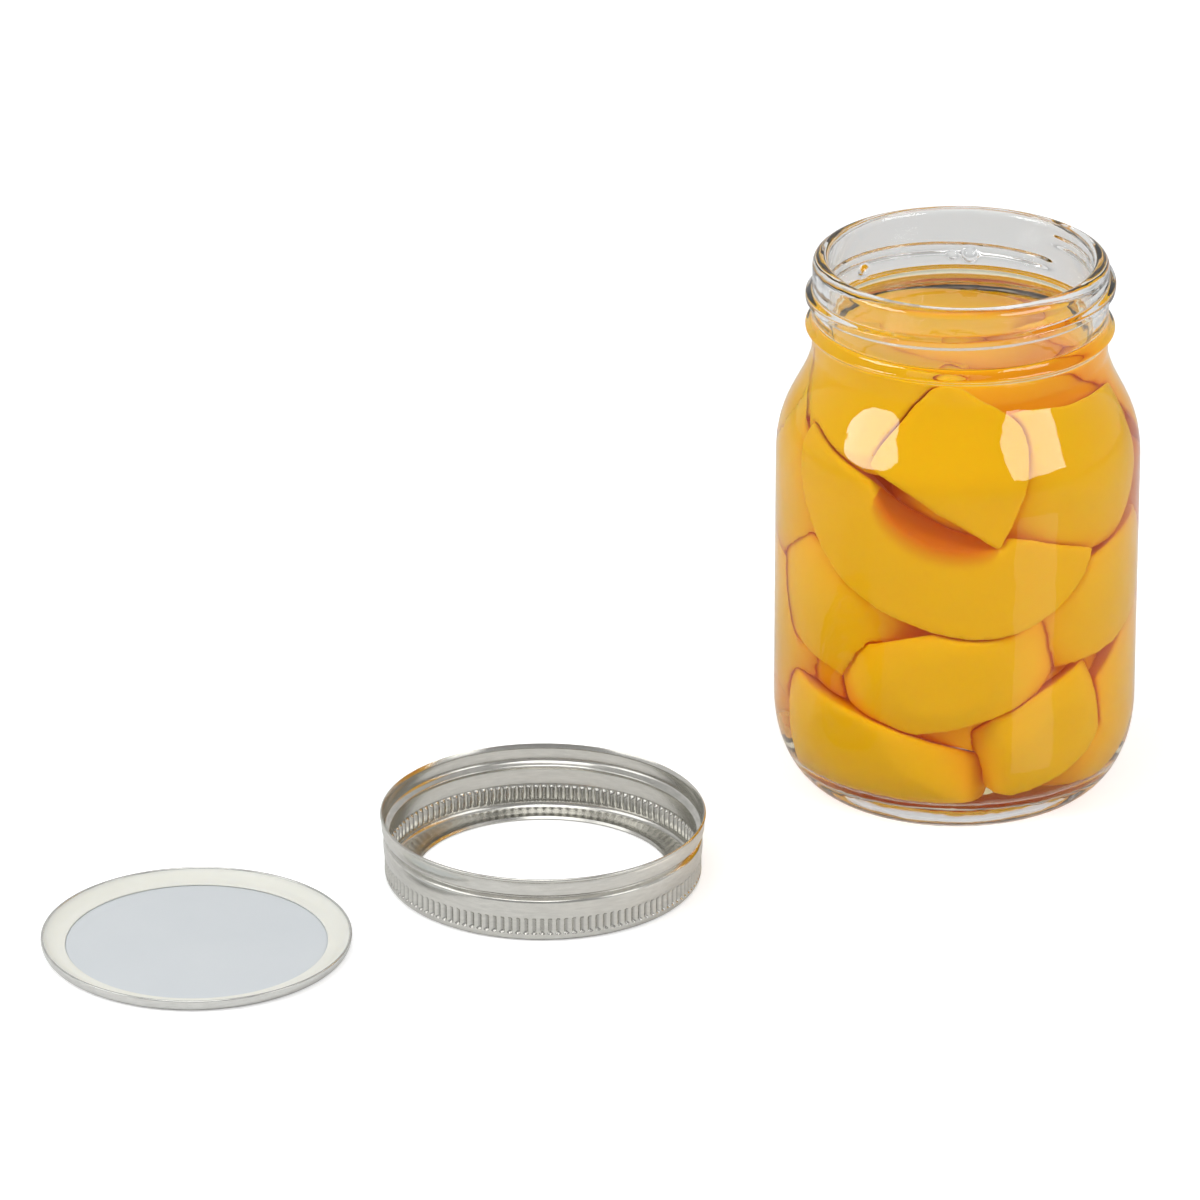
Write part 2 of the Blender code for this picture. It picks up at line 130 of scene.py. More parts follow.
# Each row: bearing from the front, distance out and height of the fruit's middle (degrees, mm, mm),
# roll, tilt and turn (degrees), 1 if its length bends round the glass, the wedge's angle (degrees),
# and the size, stretch and stone, which are shares of the fruit's own.
SLICES = [
    (-12, 37.0, 79.0, -118, 29, 0, 1, 56, 0.92, 0.61, 0.20),
    (-7.5, 36.6, 80.5, 118, 18, 0, 1, 60, 0.91, 1.40, 0.78),
    (-41, 7, 18.5, 8, 11, 0, 1, 52, 1.00, 1.32, 1.0),
    (-5, 7.5, 39, 0, -13, 0, 1, 46, 0.98, 1.32, 1.0),
    (34, 9, 24, 0, -22, 0, 1, 46, 0.92, 0.74, 0.8),
    (52, 6.5, 83, 0, 5, 0, 1, 70, 1.00, 1.20, 1.0),
    (40, -8, 79, -90, 2, -40, 0, 110, 1.00, 1.00, 1.0),
    (-48, 6, 100, 0, 5, 0, 1, 56, 0.98, 1.20, 1.0),
    (-56, 7, 51, 0, 14, 0, 1, 58, 0.95, 1.15, 1.0),
    (64, 8, 53, 0, -12, 0, 1, 50, 0.95, 1.20, 1.0),
    (80, 8, 28, 0, -35, 0, 1, 54, 0.92, 1.10, 1.0),
    (-88, 7, 76, 0, 70, 0, 1, 64, 0.98, 1.15, 1.0),
    (-6, 1, 78, 0, 25, 0, 1, 64, 0.88, 1.10, 1.0),
    (-2, 2, 26, 0, 10, 0, 1, 64, 0.88, 1.20, 1.0),
    (50, 2, 40, 0, -8, 0, 1, 70, 0.88, 1.20, 1.0),
    (-62, 2, 37, 0, 5, 0, 1, 64, 0.88, 1.20, 1.0),
    (130, 8, 84, 0, 40, 0, 1, 60, 0.95, 1.10, 1.0),
    (-140, 8, 80, 0, -30, 0, 1, 60, 0.95, 1.10, 1.0),
    (178, 8, 54, 5, 15, 0, 1, 60, 0.95, 1.10, 1.0),
    (132, 8, 27, 10, 5, 0, 1, 58, 0.92, 1.10, 1.0),
    (-130, 8, 27, 10, -8, 0, 1, 58, 0.92, 1.10, 1.0),
    (116, 8, 56, 0, -60, 0, 1, 58, 0.92, 1.10, 1.0),
    (-98, 8, 46, 0, 50, 0, 1, 66, 0.98, 1.20, 1.0),
]


# ---------------------------------------------------------------- camera, floor, lights

CAMERA_FROM_JAR = Vector((-81.3, -1942.4, 891.8)) * MM
CAMERA_DOWN_DEG = 23.61
CAMERA_LENS = 278.04
LAMP_AIM_Z = 70.0 * MM
LAMP_DISTANCE = 0.9

# Brightness of the room to everything but the camera: at the horizon, high up, behind the viewer.
ROOM_LOW = 0.8
ROOM_HIGH = 0.5
ROOM_BEHIND = 0.58
TABLE_GLOW = 2.4
FLOOR_TONE = 0.8
FLOOR_GLOW = 0.45


def add_camera():
    data = bpy.data.cameras.new("camera")
    data.sensor_width = 36.0
    data.lens = CAMERA_LENS
    data.clip_start = 0.05
    data.clip_end = 20.0
    camera = bpy.data.objects.new("camera", data)
    camera.location = JAR_AT + CAMERA_FROM_JAR
    camera.rotation_euler = (math.radians(90.0 - CAMERA_DOWN_DEG), 0.0, 0.0)
    bpy.context.scene.collection.objects.link(camera)
    bpy.context.scene.camera = camera


def area_light(name, bearing, elevation, distance, size, power, round_edge=False):
    """A soft box that faces the jar from a bearing (0 is +X, 90 is +Y) and an elevation."""
    data = bpy.data.lights.new(name, "AREA")
    data.shape = "ELLIPSE" if round_edge else "RECTANGLE"
    data.size, data.size_y = size
    data.energy = power
    light = bpy.data.objects.new(name, data)
    level = math.cos(math.radians(elevation))
    towards = Vector((
        level * math.cos(math.radians(bearing)),
        level * math.sin(math.radians(bearing)),
        math.sin(math.radians(elevation)),
    ))
    aim = JAR_AT + Vector((0.0, 0.0, LAMP_AIM_Z))
    light.location = aim + towards * distance
    light.rotation_euler = towards.to_track_quat("Z", "Y").to_euler()
    light.visible_camera = False
    bpy.context.scene.collection.objects.link(light)
    return light


def add_lights():
    """Windows that only the glass reflects, sheens that only metal reflects, and the lamps."""
    near = LAMP_DISTANCE
    windows = [
        area_light("left_window", 206, 24, near, (0.62, 0.44), 13.0, True),
        area_light("right_window", 320, 25, near, (0.60, 0.50), 15.5),
    ]
    sheens = [
        area_light("left_sheen", 200, 30, near, (0.5, 0.5), 1.1),
        area_light("right_sheen", 325, 30, near, (0.4, 0.5), 0.9),
    ]
    jar_only = bpy.data.collections.new("jar_only")
    metal_only = bpy.data.collections.new("metal_only")
    for group, lit in ((windows, jar_only), (sheens, metal_only)):
        for light in group:
            light.visible_diffuse = False
            light.visible_transmission = False
            light.light_linking.receiver_collection = lit
    for name, bearing in (("left_softbox", 206), ("right_softbox", 320)):
        area_light(name, bearing, 30, near, (0.3, 0.3), 2.8).visible_glossy = False
    area_light("top_softbox", 250, 68, 1.3, (0.9, 0.9), 5.0)
    return jar_only, metal_only


def add_table_glow():
    """A bright patch on the table that only reflections see: the pale band up the jar.

    A mirror-like wall at an angle from the front reflects the table at twice that angle.
    """
    near, far = 23.0 * MM, 200.0 * MM
    left, right = 17.4, 31.6
    corners = []
    for around, reach in ((left, near), (right, near), (right, far), (left, far)):
        turn = math.radians(around)
        x = BODY_R * math.sin(turn) + reach * math.sin(2 * turn)
        y = -BODY_R * math.cos(turn) - reach * math.cos(2 * turn)
        corners.append((JAR_AT.x + x, JAR_AT.y + y, 1.0 * MM))
    mesh = bpy.data.meshes.new("table_glow")
    mesh.from_pydata(corners, [], [(0, 1, 2, 3)])
    surface = bpy.data.materials.new("table_glow")
    surface.use_nodes = True
    shader = surface.node_tree.nodes["Principled BSDF"]
    shader.inputs["Base Color"].default_value = (0.0, 0.0, 0.0, 1.0)
    shader.inputs["Emission Color"].default_value = (1.0, 0.95, 0.9, 1.0)
    shader.inputs["Emission Strength"].default_value = TABLE_GLOW
    mesh.materials.append(surface)
    glow = bpy.data.objects.new("table_glow", mesh)
    bpy.context.scene.collection.objects.link(glow)
    glow.visible_camera = False
    glow.visible_diffuse = False
    glow.visible_transmission = False
    glow.visible_shadow = False


def set_world():
    """White to the camera. Anything else sees a grey room, darker behind the viewer."""
    world = bpy.data.worlds.new("studio")
    bpy.context.scene.world = world
    world.use_nodes = True
    tree = world.node_tree
    back = tree.nodes["Background"]
    coords = tree.nodes.new("ShaderNodeTexCoord")
    split = tree.nodes.new("ShaderNodeSeparateXYZ")
    tree.links.new(coords.outputs["Generated"], split.inputs[0])
    ramp = tree.nodes.new("ShaderNodeValToRGB")
    ramp.color_ramp.elements[0].position = 0.0
    ramp.color_ramp.elements[0].color = (ROOM_LOW, ROOM_LOW, ROOM_LOW, 1.0)
    ramp.color_ramp.elements[1].position = 0.75
    ramp.color_ramp.elements[1].color = (ROOM_HIGH, ROOM_HIGH, ROOM_HIGH, 1.0)
    tree.links.new(split.outputs["Z"], ramp.inputs[0])
    front = tree.nodes.new("ShaderNodeMapRange")
    front.interpolation_type = "SMOOTHSTEP"
    tree.links.new(split.outputs["Y"], front.inputs["Value"])
    front.inputs["From Min"].default_value = -0.9
    front.inputs["From Max"].default_value = 0.3
    front.inputs["To Min"].default_value = ROOM_BEHIND
    dimmed = tree.nodes.new("ShaderNodeMix")
    dimmed.data_type = "RGBA"
    dimmed.blend_type = "MULTIPLY"
    dimmed.inputs["Factor"].default_value = 1.0
    tree.links.new(ramp.outputs["Color"], dimmed.inputs[6])
    tree.links.new(front.outputs["Result"], dimmed.inputs[7])
    path = tree.nodes.new("ShaderNodeLightPath")
    mixed = tree.nodes.new("ShaderNodeMix")
    mixed.data_type = "RGBA"
    tree.links.new(path.outputs["Is Camera Ray"], mixed.inputs["Factor"])
    tree.links.new(dimmed.outputs[2], mixed.inputs[6])
    mixed.inputs[7].default_value = (1.0, 1.0, 1.0, 1.0)
    tree.links.new(mixed.outputs[2], back.inputs["Color"])
    back.inputs["Strength"].default_value = 1.0


def add_floor():
    """A pale table that looks white to the camera, and a little darker through the glass."""
    mesh = bpy.data.meshes.new("floor")
    half = 3.0
    corners = [(-half, -half, 0.0), (half, -half, 0.0), (half, half, 0.0), (-half, half, 0.0)]
    mesh.from_pydata(corners, [], [(0, 1, 2, 3)])
    floor = bpy.data.objects.new("floor", mesh)
    bpy.context.scene.collection.objects.link(floor)
    surface = bpy.data.materials.new("white_table")
    surface.use_nodes = True
    tree = surface.node_tree
    shader = tree.nodes["Principled BSDF"]
    shader.inputs["Base Color"].default_value = (FLOOR_TONE, FLOOR_TONE, FLOOR_TONE, 1.0)
    shader.inputs["Roughness"].default_value = 0.8
    shader.inputs["Emission Color"].default_value = (1.0, 1.0, 1.0, 1.0)
    path = tree.nodes.new("ShaderNodeLightPath")
    glow = tree.nodes.new("ShaderNodeMath")
    glow.operation = "MULTIPLY"
    glow.inputs[1].default_value = FLOOR_GLOW
    tree.links.new(path.outputs["Is Camera Ray"], glow.inputs[0])
    tree.links.new(glow.outputs[0], shader.inputs["Emission Strength"])
    mesh.materials.append(surface)


# ---------------------------------------------------------------- node helpers


class Nodes:
    """Short calls for building one material's node tree."""

    def __init__(self, name):
        self.material = bpy.data.materials.new(name)
        self.material.use_nodes = True
        self.tree = self.material.node_tree
        self.shader = self.tree.nodes["Principled BSDF"]
        self.output = self.tree.nodes["Material Output"]

    def add(self, kind, **settings):
        node = self.tree.nodes.new(kind)
        for key, value in settings.items():
            setattr(node, key, value)
        return node

    def link(self, source, target):
        self.tree.links.new(source, target)

    def coords(self, scale=(1.0, 1.0, 1.0)):
        """Object coordinates in mm, stretched by scale."""
        place = self.add("ShaderNodeTexCoord")
        mapping = self.add("ShaderNodeMapping")
        mapping.inputs["Scale"].default_value = [s / MM for s in scale]
        self.link(place.outputs["Object"], mapping.inputs["Vector"])
        return mapping.outputs[0]

    def noise(self, vector, scale, detail=3.0, rough=0.5):
        node = self.add("ShaderNodeTexNoise")
        node.inputs["Scale"].default_value = scale
        node.inputs["Detail"].default_value = detail
        node.inputs["Roughness"].default_value = rough
        self.link(vector, node.inputs["Vector"])
        return node.outputs["Fac"]

    def spread(self, value, low, high, to_low=0.0, to_high=1.0, smooth=False):
        """Maps low..high to to_low..to_high and clamps."""
        node = self.add("ShaderNodeMapRange")
        node.interpolation_type = "SMOOTHSTEP" if smooth else "LINEAR"
        self.link(value, node.inputs["Value"])
        node.inputs["From Min"].default_value = low
        node.inputs["From Max"].default_value = high
        node.inputs["To Min"].default_value = to_low
        node.inputs["To Max"].default_value = to_high
        return node.outputs["Result"]

    def maths(self, operation, first, second=None):
        node = self.add("ShaderNodeMath", operation=operation)
        for socket, value in zip(node.inputs, (first, second)):
            if isinstance(value, (int, float)):
                socket.default_value = value
            elif value is not None:
                self.link(value, socket)
        return node.outputs[0]

    def mix(self, factor, first, second):
        node = self.add("ShaderNodeMix", data_type="RGBA")
        if isinstance(factor, (int, float)):
            node.inputs["Factor"].default_value = factor
        else:
            self.link(factor, node.inputs["Factor"])
        for socket, value in zip((node.inputs[6], node.inputs[7]), (first, second)):
            if isinstance(value, tuple):
                socket.default_value = (*value, 1.0)
            else:
                self.link(value, socket)
        return node.outputs[2]

    def bump(self, height, strength, distance):
        node = self.add("ShaderNodeBump")
        node.inputs["Strength"].default_value = strength
        node.inputs["Distance"].default_value = distance
        self.link(height, node.inputs["Height"])
        return node.outputs[0]

    def let_light_through(self):
        """Shadow and diffuse rays pass straight through, so that lamps light what is behind."""
        path = self.add("ShaderNodeLightPath")
        either = self.maths("MAXIMUM", path.outputs["Is Shadow Ray"], path.outputs["Is Diffuse Ray"])
        clear = self.add("ShaderNodeBsdfTransparent")
        both = self.add("ShaderNodeMixShader")
        self.link(either, both.inputs[0])
        self.link(self.shader.outputs[0], both.inputs[1])
        self.link(clear.outputs[0], both.inputs[2])
        self.link(both.outputs[0], self.output.inputs["Surface"])


# ---------------------------------------------------------------- materials


def glass_material(name, ior, tint, faint, waviness):
    """Clear pressed glass or liquid with slow waves in its surface."""
    n = Nodes(name)
    place = n.coords()
    slow = n.noise(place, 0.045, 2.0)
    n.link(n.mix(slow, tint, faint), n.shader.inputs["Base Color"])
    n.shader.inputs["Transmission Weight"].default_value = 1.0
    n.shader.inputs["IOR"].default_value = ior
    n.shader.inputs["Roughness"].default_value = 0.0
    n.shader.inputs["Specular Tint"].default_value = (0.36, 0.36, 0.36, 1.0)
    n.link(n.bump(n.noise(place, 0.11, 2.0), waviness, 1.0 * MM), n.shader.inputs["Normal"])
    n.let_light_through()
    return n.material


def clear_material():
    """The syrup's sides: they lie on the wet glass, which does the bending."""
    n = Nodes("syrup_side")
    clear = n.add("ShaderNodeBsdfTransparent")
    n.link(clear.outputs[0], n.output.inputs["Surface"])
    return n.material


def tinplate_material(name, tone, shade_knurls=False):
    """Satin tinplate with drawn streaks round it, and painted shade darkening the valleys of the
    knurls.
    """
    n = Nodes(name)
    place = n.coords((1.0, 1.0, 6.0))
    streak = n.noise(place, 0.35, 4.0)
    blotch = n.noise(n.coords(), 0.06, 2.0)
    darker = tuple(0.86 * c for c in tone)
    colour = n.mix(n.spread(streak, 0.3, 0.7), darker, tone)
    if shade_knurls:
        # Painted shade: the knurls' valleys are darkened in the colour itself, where shade falls in
        # the grooves.
        colour = n.mix(painted_knurl_shade(n), colour, (0.22, 0.215, 0.2))
    n.link(colour, n.shader.inputs["Base Color"])
    n.shader.inputs["Metallic"].default_value = 1.0
    n.link(n.spread(blotch, 0.3, 0.7, 0.18, 0.24), n.shader.inputs["Roughness"])
    n.link(n.bump(n.noise(place, 0.5, 2.0), 0.04, 0.1 * MM), n.shader.inputs["Normal"])
    return n.material


def painted_knurl_shade(n):
    """0 to 0.6: how deep a point of the band lies in a knurl's valley, which sets how much painted
    shade it gets.
    """
    split = n.add("ShaderNodeSeparateXYZ")
    n.link(n.coords(), split.inputs[0])
    angle = n.maths("ARCTAN2", split.outputs["Y"], split.outputs["X"])
    wave = n.maths("COSINE", n.maths("MULTIPLY", angle, float(KNURLS)))
    low, high = (BAND_HEIGHT - edge for edge in reversed(KNURL_SPAN))
    start = n.spread(split.outputs["Z"], low / MM, low / MM + 0.6)
    end = n.spread(split.outputs["Z"], high / MM, high / MM - 0.6)
    inside = n.maths("MULTIPLY", start, end)
    return n.maths("MULTIPLY", inside, n.spread(wave, -0.1, 1.0, 0.0, 0.6))


def enamel_material():
    n = Nodes("pale_enamel")
    place = n.coords()
    cloud = n.noise(place, 0.05, 3.0)
    n.link(n.mix(cloud, (0.55, 0.585, 0.61), (0.6, 0.63, 0.65)), n.shader.inputs["Base Color"])
    grain = n.noise(place, 2.2, 3.0)
    n.link(n.spread(grain, 0.3, 0.7, 0.36, 0.48), n.shader.inputs["Roughness"])
    n.link(n.bump(grain, 0.06, 0.05 * MM), n.shader.inputs["Normal"])
    return n.material


def compound_material():
    n = Nodes("cream_compound")
    place = n.coords()
    cloud = n.noise(place, 0.12, 3.0)
    n.link(n.mix(cloud, (0.7, 0.7, 0.64), (0.76, 0.76, 0.7)), n.shader.inputs["Base Color"])
    n.shader.inputs["Subsurface Weight"].default_value = 0.3
    n.shader.inputs["Subsurface Radius"].default_value = (1.0, 0.9, 0.7)
    n.shader.inputs["Subsurface Scale"].default_value = 0.6 * MM
    n.shader.inputs["Specular IOR Level"].default_value = 0.3
    n.link(n.spread(cloud, 0.3, 0.7, 0.3, 0.4), n.shader.inputs["Roughness"])
    n.link(n.bump(n.noise(place, 0.2, 2.0), 0.05, 0.1 * MM), n.shader.inputs["Normal"])
    return n.material


def peach_material():
    """Fruit in its own frame: X runs through both tips, and r is the distance from X.

    The mesh also carries pit, 1 at the stone's hollow, and depth, the mm of syrup outside.
    """
    n = Nodes("peach_flesh")
    place = n.add("ShaderNodeAttribute", attribute_name="fruit").outputs["Vector"]
    split = n.add("ShaderNodeSeparateXYZ")
    n.link(place, split.inputs[0])
    square_y = n.maths("MULTIPLY", split.outputs["Y"], split.outputs["Y"])
    square_z = n.maths("MULTIPLY", split.outputs["Z"], split.outputs["Z"])
    r = n.maths("SQRT", n.maths("ADD", square_y, square_z))
    turn = n.maths("ARCTAN2", split.outputs["Z"], split.outputs["Y"])
    x = split.outputs["X"]
    # Fibres run outwards from the stone: noise in (x, turn) drawn out along r.
    fibre_at = n.add("ShaderNodeCombineXYZ")
    n.link(n.maths("MULTIPLY", x, 0.9), fibre_at.inputs[0])
    n.link(n.maths("MULTIPLY", turn, 11.0), fibre_at.inputs[1])
    n.link(n.maths("MULTIPLY", r, 0.12), fibre_at.inputs[2])
    fibre = n.noise(fibre_at.outputs[0], 1.0, 4.0, 0.6)
    cloud = n.noise(place, 0.07, 3.0)
    fine = n.noise(place, 0.9, 3.0)
    flesh = n.mix(n.spread(cloud, 0.3, 0.7), (0.74, 0.385, 0.002), (0.78, 0.44, 0.003))
    flesh = n.mix(n.spread(fibre, 0.45, 0.75, 0.0, 0.3), flesh, (0.82, 0.5, 0.012))
    # The stone's hollow is dark red, and its colour bleeds a little way out through orange.
    pit = n.add("ShaderNodeAttribute", attribute_name="pit").outputs["Fac"]
    ragged = n.maths("ADD", pit, n.maths("MULTIPLY", n.maths("SUBTRACT", fibre, 0.5), 0.9))
    orange = n.mix(fine, (0.52, 0.1, 0.001), (0.66, 0.2, 0.002))
    colour = n.mix(n.spread(ragged, 0.05, 1.05, 0.0, 0.9, True), flesh, orange)
    colour = n.mix(n.spread(ragged, 0.8, 1.3, 0.0, 0.75), colour, (0.42, 0.035, 0.001))
    # Painted light and shade: deeper in the jar the colour is painted darker orange-red, standing in
    # for light that has come through syrup and fruit.
    depth = n.add("ShaderNodeAttribute", attribute_name="depth").outputs["Fac"]
    colour = n.mix(n.spread(depth, 4.0, 18.0, 0.0, 0.85), colour, (0.5, 0.11, 0.001))
    n.link(colour, n.shader.inputs["Base Color"])
    # Painted glow: the flesh gives off orange-red light, more where it lies deeper in the syrup,
    # standing in for light come through the fruit.
    n.shader.inputs["Emission Color"].default_value = (0.42, 0.07, 0.001, 1.0)
    n.link(n.spread(depth, 0.7, 6.0, 0.0, 0.26), n.shader.inputs["Emission Strength"])
    n.shader.inputs["Subsurface Weight"].default_value = 0.35
    n.shader.inputs["Subsurface Radius"].default_value = (1.0, 0.4, 0.06)
    n.shader.inputs["Subsurface Scale"].default_value = 3.5 * MM
    n.shader.inputs["Specular IOR Level"].default_value = 0.05
    n.link(n.spread(fine, 0.3, 0.7, 0.38, 0.55), n.shader.inputs["Roughness"])
    rough = n.maths("ADD", n.maths("MULTIPLY", fibre, 0.7), n.maths("MULTIPLY", fine, 0.3))
    n.link(n.bump(rough, 0.3, 0.35 * MM), n.shader.inputs["Normal"])
    return n.material


# ---------------------------------------------------------------- mesh helpers


def smooth_object(name, mesh, sharp_deg=None):
    mesh.shade_smooth()
    if sharp_deg is not None:
        mesh.set_sharp_from_angle(angle=math.radians(sharp_deg))
    piece = bpy.data.objects.new(name, mesh)
    bpy.context.scene.collection.objects.link(piece)
    return piece


def cubic(start, lean, reach, end, steps):
    """Points of a cubic curve after its start, each an (r, z) pair."""
    points = []
    for i in range(1, steps + 1):
        t = i / steps
        weights = ((1 - t) ** 3, 3 * t * (1 - t) ** 2, 3 * t * t * (1 - t), t**3)
        ends = (start, lean, reach, end)
        points.append(tuple(sum(w * p[k] for w, p in zip(weights, ends)) for k in (0, 1)))
    return points


def arc(r, z, radius, start_deg, end_deg, steps):
    """Points on an arc round (r, z), both ends included."""
    points = []
    for i in range(steps + 1):
        angle = math.radians(start_deg + (end_deg - start_deg) * i / steps)
        points.append((r + radius * math.cos(angle), z + radius * math.sin(angle)))
    return points


def run(first, last, steps):
    """Points from first to last, both included."""
    return [tuple(a + (b - a) * i / steps for a, b in zip(first, last)) for i in range(steps + 1)]


def lathe(name, outline, segments, shift=None):
    """A solid turned about Z from (r, z) points, outside first and running down it.

    shift(r, z, angle) moves a point in or out.
    """
    verts = []
    rings = []
    for r, z in outline:
        if r == 0.0:
            rings.append([len(verts)])
            verts.append((0.0, 0.0, z))
            continue
        ring = []
        for i in range(segments):
            angle = math.tau * i / segments
            out = r if shift is None else r + shift(r, z, angle)
            ring.append(len(verts))
            verts.append((out * math.cos(angle), out * math.sin(angle), z))
        rings.append(ring)
    pairs = list(zip(rings, rings[1:]))
    if outline[0][0] > 0.0:
        pairs.append((rings[-1], rings[0]))
    faces = []
    for upper, lower in pairs:
        for i in range(segments):
            j = (i + 1) % segments
            corners = [upper[i % len(upper)], lower[i % len(lower)]]
            corners += [lower[j % len(lower)], upper[j % len(upper)]]
            unique = list(dict.fromkeys(corners))
            if len(unique) > 2:
                faces.append(unique)
    mesh = bpy.data.meshes.new(name)
    mesh.from_pydata(verts, [], faces)
    return mesh


def two_surfaces(mesh, first_faces, first, second):
    """Gives the mesh's first faces one slot and material, and the rest the other."""
    slots = [first if k < first_faces else second for k in range(len(mesh.polygons))]
    mesh.polygons.foreach_set("material_index", slots)


# ---------------------------------------------------------------- glass jar and syrup


def droplet_rise(z, angle):
    """How far the drops of syrup on the inside of the neck stand off it."""
    rise = 0.0
    for bearing, height, radius, thickness in DROPLETS:
        around = MOUTH_R * (angle - math.radians(bearing))
        square = (around * around + (z - height * MM) ** 2) / (radius * MM) ** 2
        if square < 1.0:
            rise = max(rise, thickness * MM * (1.0 - square) ** 0.7)
    return rise


def neck_shift(r, z, angle):
    """How far the neck's bead and thread stand out of it, and the drops inside into it."""
    if abs(r - MOUTH_R) < 0.01 * MM and z > SYRUP_LEVEL + MENISCUS:
        return -droplet_rise(z, angle)
    if r < FINISH_R - 0.1 * MM or z < SHOULDER_TOP:
        return 0.0
    off_bead = (z - BEAD_Z) / (1.15 * MM)
    rise = BEAD_RISE * math.exp(-off_bead * off_bead)
    turned_by = (math.degrees(angle) - THREAD_START_DEG) % 360.0
    for turn in (turned_by, turned_by + 360.0):
        if turn > THREAD_TURN_DEG:
            continue
        height = THREAD_START_Z + THREAD_PITCH * turn / 360.0
        off = abs(z - height) / THREAD_HALF_WIDTH
        if off >= 1.0:
            continue
        ends = min(1.0, turn / THREAD_TAPER_DEG, (THREAD_TURN_DEG - turn) / THREAD_TAPER_DEG)
        side = min(1.0, (1.0 - off) / 0.7)
        full = (3 - 2 * side) * side * side * (3 - 2 * ends) * ends * ends
        rise = max(rise, THREAD_RISE * full)
    return rise


def jar_outside():
    """The outside, from the inner edge of the rim down to the middle underneath."""
    top = JAR_HEIGHT
    points = arc(31.0 * MM, top - 1.2 * MM, 1.2 * MM, 180, 90, 6)
    points += arc(31.6 * MM, top - 1.9 * MM, 1.9 * MM, 90, 0, 8)
    points += run((FINISH_R, top - 2.1 * MM), (FINISH_R, BEAD_Z - 3.2 * MM), 84)
    points += run((FINISH_R, BEAD_Z - 3.6 * MM), (FINISH_R, SHOULDER_TOP), 6)
    shoulder = ((FINISH_R, SHOULDER_TOP), (35.7 * MM, 94.65 * MM), (BODY_R, 92.8 * MM))
    points += cubic(*shoulder, (BODY_R, SHOULDER_BASE), 36)
    points += run((BODY_R, SHOULDER_BASE - 2 * MM), (BODY_R, HEEL_TOP), 24)
    heel = ((BODY_R, HEEL_TOP), (BODY_R, 5.4 * MM), (33.0 * MM, 0.3 * MM))
    points += cubic(*heel, (30.4 * MM, 0.05 * MM), 30)
    points += [(30.0 * MM, 0.0), (27.6 * MM, 0.0), (27.0 * MM, 0.15 * MM)]
    push_up = ((25.5 * MM, 0.9 * MM), (14.0 * MM, PUSH_UP), (4.0 * MM, PUSH_UP))
    points += cubic((27.0 * MM, 0.15 * MM), *push_up, 10)
    return points + [(0.0, PUSH_UP)]


def jar_inside(inset=0.0):
    """The inside, from the middle of the floor up to the mouth."""
    inner_r = BODY_R - WALL - inset
    mouth_r = MOUTH_R - inset
    floor_z = FLOOR + inset
    points = [(0.0, floor_z)] + run((4.0 * MM, floor_z), (20.0 * MM, floor_z), 4)
    corner = ((20.0 * MM, floor_z), (33.0 * MM, floor_z), (inner_r, 10.6 * MM), (inner_r, 25.0 * MM))
    points += cubic(*corner, 22)
    points += run((inner_r, 27.0 * MM), (inner_r, SHOULDER_BASE - 1.5 * MM), 18)
    shoulder = ((inner_r, SHOULDER_BASE - 1.5 * MM), (inner_r, 90.5 * MM))
    points += cubic(*shoulder, (mouth_r + 2.2 * MM, 92.5 * MM), (mouth_r, SHOULDER_TOP + 1.0 * MM), 30)
    return points


def build_jar():
    wet_top = SYRUP_LEVEL + MENISCUS
    wet = jar_inside()
    wet += run((MOUTH_R, SHOULDER_TOP + 2.0 * MM), (MOUTH_R, wet_top), 8)
    dry = run((MOUTH_R, wet_top + 0.5 * MM), (MOUTH_R, JAR_HEIGHT - 1.4 * MM), 42)
    mesh = lathe("glass_jar_fine", wet + dry + jar_outside(), JAR_SEGMENTS, neck_shift)
    two_surfaces(mesh, (len(wet) - 1) * JAR_SEGMENTS, 1, 0)
    clear = ((0.97, 0.985, 0.98), (0.98, 0.99, 0.985))
    amber = ((1.0, 0.94, 0.72), (1.0, 0.93, 0.69))
    mesh.materials.append(glass_material("clear_glass", GLASS_IOR, *clear, 0.18))
    mesh.materials.append(glass_material("wet_glass", GLASS_IOR / SYRUP_IOR, *amber, 0.1))
    jar = smooth_object("glass_jar_fine", mesh, 50)
    jar.location = JAR_AT
    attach(jar, "jar")
    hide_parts("glass_jar")
    return jar


def build_syrup():
    gap = 0.03 * MM
    wall_r = MOUTH_R - gap
    flat_r = wall_r - 1.6 * MM
    top = run((0.0, SYRUP_LEVEL), (flat_r, SYRUP_LEVEL), 10)
    up_glass = ((wall_r, SYRUP_LEVEL + 0.1 * MM), (wall_r, SYRUP_LEVEL + MENISCUS))
    rise = cubic((flat_r, SYRUP_LEVEL), (flat_r + 0.9 * MM, SYRUP_LEVEL), *up_glass, 6)
    side = list(reversed(jar_inside(gap)))
    outline = top + rise + side
    top_rows = len(top) + len(rise) - 1
    mesh = lathe("syrup", outline, SYRUP_SEGMENTS)
    two_surfaces(mesh, top_rows * SYRUP_SEGMENTS, 0, 1)
    amber = ((1.0, 0.94, 0.72), (1.0, 0.92, 0.68))
    mesh.materials.append(glass_material("syrup", SYRUP_IOR, *amber, 0.08))
    mesh.materials.append(clear_material())
    syrup = smooth_object("syrup", mesh, 50)
    syrup.location = JAR_AT
    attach(syrup, "jar")


# ---------------------------------------------------------------- peach slices


def slice_turn(roll, tilt, turn):
    """How a slice's fruit is turned from lying level with its skin out."""
    matrix = Matrix.Rotation(math.radians(tilt), 3, "Y") @ Matrix.Rotation(math.radians(turn), 3, "Z")
    return matrix @ Matrix.Rotation(math.radians(roll), 3, "X")


